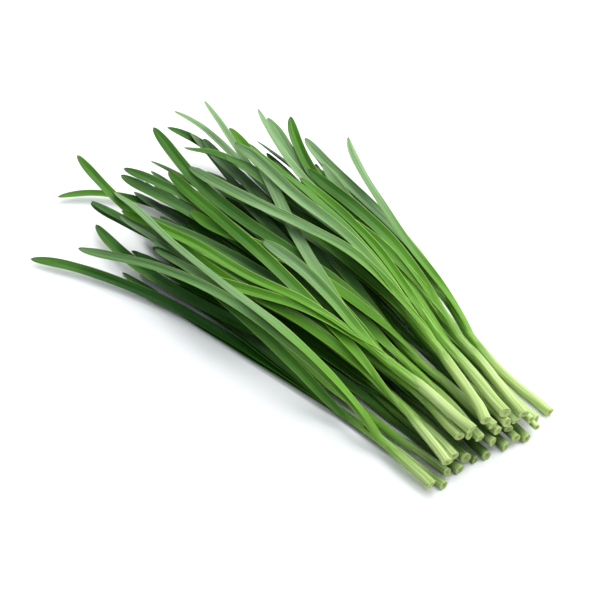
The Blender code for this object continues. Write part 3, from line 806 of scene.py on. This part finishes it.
def dress_shoot(name, stalk, leaves, heap, origin, draw, materials):
    """One visible piece for a shoot: its smooth stalk and leaves in place of the solid."""
    skins = [stem(stalk, draw)]
    for k, leaf in enumerate(leaves):
        rise = LEAF_SPACING * (k - (len(leaves) - 1) / 2)
        facing = WRAP[len(leaves)][k] + draw.uniform(-WRAP_DRAW, WRAP_DRAW)
        skins.append(blade(leaf, stalk, facing, rise, draw))
    points, place, chance, faces, slots, caps = [], [], [], [], [], []
    first = 0
    tone = draw.uniform(0, 1)
    for k, (skin, spot) in enumerate(skins):
        new = ring_faces(skin.shape[0], skin.shape[1], first)
        cut_faces = (len(CUT_RINGS) - 1) * STALK_CORNERS if k == 0 else 0
        faces += new
        caps += [len(faces) - 2, len(faces) - 1]
        slots += [1] * cut_faces + [0] * (len(new) - cut_faces)
        if k == 0:
            slots[-2] = 1
        points.append(skin.reshape(-1, 3))
        place.append(spot.reshape(len(points[-1]), -1))
        luck = (SHARED_TONE * tone + (1 - SHARED_TONE) * draw.uniform(0, 1), draw.uniform(0, 1))
        chance.append(np.tile(luck, (len(points[-1]), 1)))
        first += len(points[-1])
    points, place, chance = np.concatenate(points), np.concatenate(place), np.concatenate(chance)
    points[:, 2] = np.maximum(points[:, 2], 0)
    # Painted shade: how deep each point lies under the evened-out heap, which later darkens its colour
    painted_shade = np.clip((heap.height_under(points) - points[:, 2] - PAINTED_SHADE_FROM) / PAINTED_SHADE_DEPTH, 0, 1)
    mesh = bpy.data.meshes.new(name + "_look")
    mesh.from_pydata(((points - origin) * MM).tolist(), [], faces)
    mesh.polygons.foreach_set("material_index", slots)
    mesh.shade_smooth()
    for k in caps:
        mesh.polygons[k].use_smooth = False
    grain = mesh.attributes.new("grain", "FLOAT_VECTOR", "POINT")
    grain.data.foreach_set("vector", place[:, :3].ravel())
    spot = mesh.attributes.new("spot", "FLOAT_COLOR", "POINT")
    spot.data.foreach_set("color", np.column_stack([chance, place[:, 3:]]).ravel())
    cover = mesh.attributes.new("painted_shade", "FLOAT", "POINT")
    cover.data.foreach_set("value", painted_shade)
    for material in materials:
        mesh.materials.append(material)
    piece = bpy.data.objects.new(name + "_look", mesh)
    bpy.context.scene.collection.objects.link(piece)
    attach(piece, "root")
    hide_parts(name)


class Shader:
    """A small helper that adds nodes to one material and links them."""

    def __init__(self, name):
        self.material = bpy.data.materials.new(name)
        self.material.use_nodes = True
        self.tree = self.material.node_tree
        self.surface = self.tree.nodes["Principled BSDF"]

    def plug(self, socket, value):
        if isinstance(value, bpy.types.NodeSocket):
            self.tree.links.new(value, socket)
        elif hasattr(socket.default_value, "__len__") and len(socket.default_value) == 4:
            socket.default_value = (*value, 1.0)[:4]
        else:
            socket.default_value = value

    def attribute(self, name):
        node = self.tree.nodes.new("ShaderNodeAttribute")
        node.attribute_name = name
        return node

    def split(self, value):
        node = self.tree.nodes.new("ShaderNodeSeparateXYZ")
        self.plug(node.inputs[0], value)
        return node.outputs

    def join(self, x, y, z):
        node = self.tree.nodes.new("ShaderNodeCombineXYZ")
        for socket, value in zip(node.inputs, (x, y, z)):
            self.plug(socket, value)
        return node.outputs[0]

    def math(self, operation, a, b=0.0):
        node = self.tree.nodes.new("ShaderNodeMath")
        node.operation = operation
        self.plug(node.inputs[0], a)
        self.plug(node.inputs[1], b)
        return node.outputs[0]

    def add(self, a, b):
        return self.math("ADD", a, b)

    def times(self, a, b):
        return self.math("MULTIPLY", a, b)

    def remap(self, value, low, high, to_low=0.0, to_high=1.0):
        node = self.tree.nodes.new("ShaderNodeMapRange")
        node.interpolation_type = "SMOOTHSTEP"
        for socket, given in zip(node.inputs, (value, low, high, to_low, to_high)):
            self.plug(socket, given)
        return node.outputs[0]

    def mix(self, share, a, b):
        node = self.tree.nodes.new("ShaderNodeMix")
        node.data_type = "RGBA"
        self.plug(node.inputs["Factor"], share)
        self.plug(node.inputs["A"], a)
        self.plug(node.inputs["B"], b)
        return node.outputs["Result"]

    def noise(self, where, scale, detail):
        node = self.tree.nodes.new("ShaderNodeTexNoise")
        self.plug(node.inputs["Vector"], where)
        self.plug(node.inputs["Scale"], scale)
        self.plug(node.inputs["Detail"], detail)
        return node.outputs["Fac"]

    def drawn_out(self, grain, across, offset, along):
        """Noise drawn out along a leaf, by how fast it changes for each millimetre across and along."""
        by_across, by_along, detail = grain
        where = self.join(self.times(across, by_across), offset, self.times(along, by_along))
        return self.noise(where, 1.0, detail)

    def bump(self, height, distance, strength):
        node = self.tree.nodes.new("ShaderNodeBump")
        self.plug(node.inputs["Height"], height)
        self.plug(node.inputs["Distance"], distance)
        self.plug(node.inputs["Strength"], strength)
        self.plug(self.surface.inputs["Normal"], node.outputs[0])

    def set(self, socket, value):
        self.surface.inputs[socket].default_value = value


def chive_material():
    """Stalk and leaf in one skin: pale at the foot, green past the mouth, veined, waxy with a painted sheen,
    with paler rims and a painted edge highlight, dry at the tip, and darkened by painted shade deep in the
    heap.
    """
    s = Shader("chive_skin")
    across, side, along = s.split(s.attribute("grain").outputs["Vector"])[:3]
    spot = s.attribute("spot")
    luck, hue, edge = s.split(spot.outputs["Vector"])[:3]
    tip = spot.outputs["Alpha"]
    painted_shade = s.attribute("painted_shade").outputs["Fac"]
    own = s.times(hue, NOISE_APART)
    own_side = s.add(side, own)
    streak = s.drawn_out(FIBRE_GRAIN, across, own_side, along)
    broad = s.drawn_out(BROAD_GRAIN, across, own_side, along)
    cloud = s.drawn_out(CLOUD_GRAIN, across, own, along)
    start = s.add(along, s.times(s.math("SUBTRACT", luck, 0.5), GREENING_SPREAD))
    bands = s.remap(broad, *BROAD_BANDS)
    pale = s.mix(bands, *PALE_FOOT)
    stalk = s.mix(s.remap(start, *FOOT_TO_STALK), pale, s.mix(bands, *STALK_GREEN))
    lined = s.mix(s.remap(streak, *STALK_LINES), stalk, STALK_GREEN[1])
    fresh = s.mix(s.remap(start, *STALK_TO_FRESH), lined, FRESH_GREEN)
    light = s.add(s.times(luck, LIGHT_SHARE), s.remap(cloud, *LIGHT_CLOUDS))
    yellowed = s.times(s.remap(hue, *YELLOW_LEAVES), s.remap(cloud, *YELLOW_CLOUDS))
    leaf = s.mix(yellowed, s.mix(light, LEAF_DEEP, LEAF_LIGHT), LEAF_YELLOW)
    # Wax: partly the real bloom, partly a painted sheen standing in for pale highlights
    wax_and_sheen = s.times(s.remap(hue, *WAX_AND_SHEEN_LEAVES), s.remap(streak, *WAX_AND_SHEEN_STREAKS))
    mottled = s.mix(s.remap(broad, *LEAF_MOTTLES), s.mix(wax_and_sheen, leaf, LEAF_WAX_AND_SHEEN), LEAF_DEEP)
    streaked = s.mix(s.remap(streak, *LEAF_STREAKS), mottled, LEAF_DEEP)
    green = s.mix(s.remap(start, *FRESH_TO_LEAF), fresh, streaked)
    vein = s.math("SINE", s.times(across, VEINS))
    veined = s.mix(s.remap(vein, *VEIN_LINES), green, LEAF_VEIN)
    ribbed = s.mix(s.remap(edge, *MIDRIB), veined, LEAF_VEIN)
    on_leaf = s.remap(along, *ON_LEAF)
    # Rim: paler margins with a painted edge highlight, fading along the leaf
    rim_and_highlight = s.times(s.remap(edge, *RIM_AND_HIGHLIGHT), s.remap(along, *RIM_HIGHLIGHT_FADES))
    rimmed_and_highlighted = s.mix(s.times(rim_and_highlight, on_leaf), s.mix(on_leaf, green, ribbed), LEAF_RIM_AND_HIGHLIGHT)
    dried = s.mix(s.remap(tip, *DRY_END), rimmed_and_highlighted, TIP_DRY)
    # Painted shade: the colour turns towards a deep green where the point lies deep in the heap
    with_painted_shade = s.mix(s.times(painted_shade, PAINTED_SHADE_SHARE), dried, PAINTED_SHADE_GREEN)
    s.plug(s.surface.inputs["Base Color"], with_painted_shade)
    s.plug(s.surface.inputs["Roughness"], s.remap(streak, *SKIN_ROUGHNESS))
    s.set("Specular IOR Level", SKIN_SPECULAR)
    s.set("Subsurface Weight", SKIN_SUBSURFACE)
    s.set("Subsurface Radius", SKIN_SUBSURFACE_RADIUS)
    s.set("Subsurface Scale", SUBSURFACE_SCALE)
    s.bump(s.add(vein, s.times(streak, STREAK_RELIEF)), *SKIN_BUMP)
    return s.material


def cut_material():
    """The cut foot: rings of sheath, moist and a little browned, and darkened by painted shade deep in the
    heap.
    """
    s = Shader("chive_cut")
    across, side, _ = s.split(s.attribute("grain").outputs["Vector"])[:3]
    edge = s.split(s.attribute("spot").outputs["Vector"])[2]
    ring = s.math("SINE", s.times(edge, CUT_WAVES))
    speck = s.noise(s.join(across, side, edge), *CUT_GRAIN)
    flesh = s.mix(s.remap(ring, *CUT_BANDS), CUT_DARK, CUT_PALE)
    specked = s.mix(s.remap(speck, *CUT_SPECKS), flesh, CUT_BROWN)
    # Painted shade: cut feet that lie deep in the heap are painted darker
    painted_shade = s.times(s.attribute("painted_shade").outputs["Fac"], CUT_PAINTED_SHADE_SHARE)
    s.plug(s.surface.inputs["Base Color"], s.mix(painted_shade, specked, CUT_PAINTED_SHADE))
    s.set("Roughness", CUT_ROUGHNESS)
    s.set("Subsurface Weight", CUT_SUBSURFACE)
    s.set("Subsurface Scale", SUBSURFACE_SCALE)
    s.bump(s.add(ring, speck), *CUT_BUMP)
    return s.material


def floor_material():
    s = Shader("floor_white")
    s.plug(s.surface.inputs["Base Color"], FLOOR_WHITE)
    s.set("Roughness", FLOOR_ROUGHNESS)
    s.set("Specular IOR Level", FLOOR_SPECULAR)
    return s.material


def add_floor():
    mesh = bpy.data.meshes.new("floor")
    half = FLOOR_SIZE / 2
    corners = [(-half, -half, 0), (half, -half, 0), (half, half, 0), (-half, half, 0)]
    mesh.from_pydata(corners, [], [(0, 1, 2, 3)])
    mesh.materials.append(floor_material())
    floor = bpy.data.objects.new("floor", mesh)
    floor.location.z = -FLOOR_DROP
    bpy.context.scene.collection.objects.link(floor)


def add_camera(origin, back):
    ahead = back * math.cos(VIEW_HEIGHT)
    ahead.z = -math.sin(VIEW_HEIGHT)
    lens = bpy.data.cameras.new("camera")
    lens.sensor_width = SENSOR
    lens.lens = SENSOR / 2 / math.tan(VIEW_FIELD / 2)
    camera = bpy.data.objects.new("camera", lens)
    camera.location = Vector(AIM) - Vector(origin * MM) - ahead * VIEW_DISTANCE
    camera.rotation_mode = "QUATERNION"
    camera.rotation_quaternion = ahead.to_track_quat("-Z", "Y")
    bpy.context.scene.collection.objects.link(camera)
    bpy.context.scene.camera = camera


def add_light(name, place, size, power, colour):
    data = bpy.data.lights.new(name, "AREA")
    data.shape = "DISK"
    data.size = size
    data.energy = power
    data.color = colour
    light = bpy.data.objects.new(name, data)
    light.location = place
    light.rotation_mode = "QUATERNION"
    light.rotation_quaternion = (-place).to_track_quat("-Z", "Y")
    bpy.context.scene.collection.objects.link(light)


def add_studio(origin):
    right = Vector((math.sin(VIEW_TURN), -math.cos(VIEW_TURN), 0))
    back = Vector((math.cos(VIEW_TURN), math.sin(VIEW_TURN), 0))
    up = Vector((0, 0, 1))
    add_floor()
    add_camera(origin, back)
    for name, (to_right, to_back, to_top), size, power, colour in LIGHTS:
        add_light(name, right * to_right + back * to_back + up * to_top, size, power, colour)
    world = bpy.data.worlds.new("studio")
    world.use_nodes = True
    background = world.node_tree.nodes["Background"]
    background.inputs["Color"].default_value = WORLD_COLOUR
    background.inputs["Strength"].default_value = WORLD_STRENGTH
    bpy.context.scene.world = world
    bpy.context.scene.view_settings.view_transform = "Standard"


def main():
    laid, pile = lay_shoots()
    origin = bunch_origin(laid)
    heap = painted_shade_map(pile)
    draw = np.random.default_rng(LOOK_SEED)
    materials = (chive_material(), cut_material())
    for name, (stalk, leaves) in laid.items():
        dress_shoot(name, stalk, leaves, heap, origin, draw, materials)
    add_studio(origin)


main()
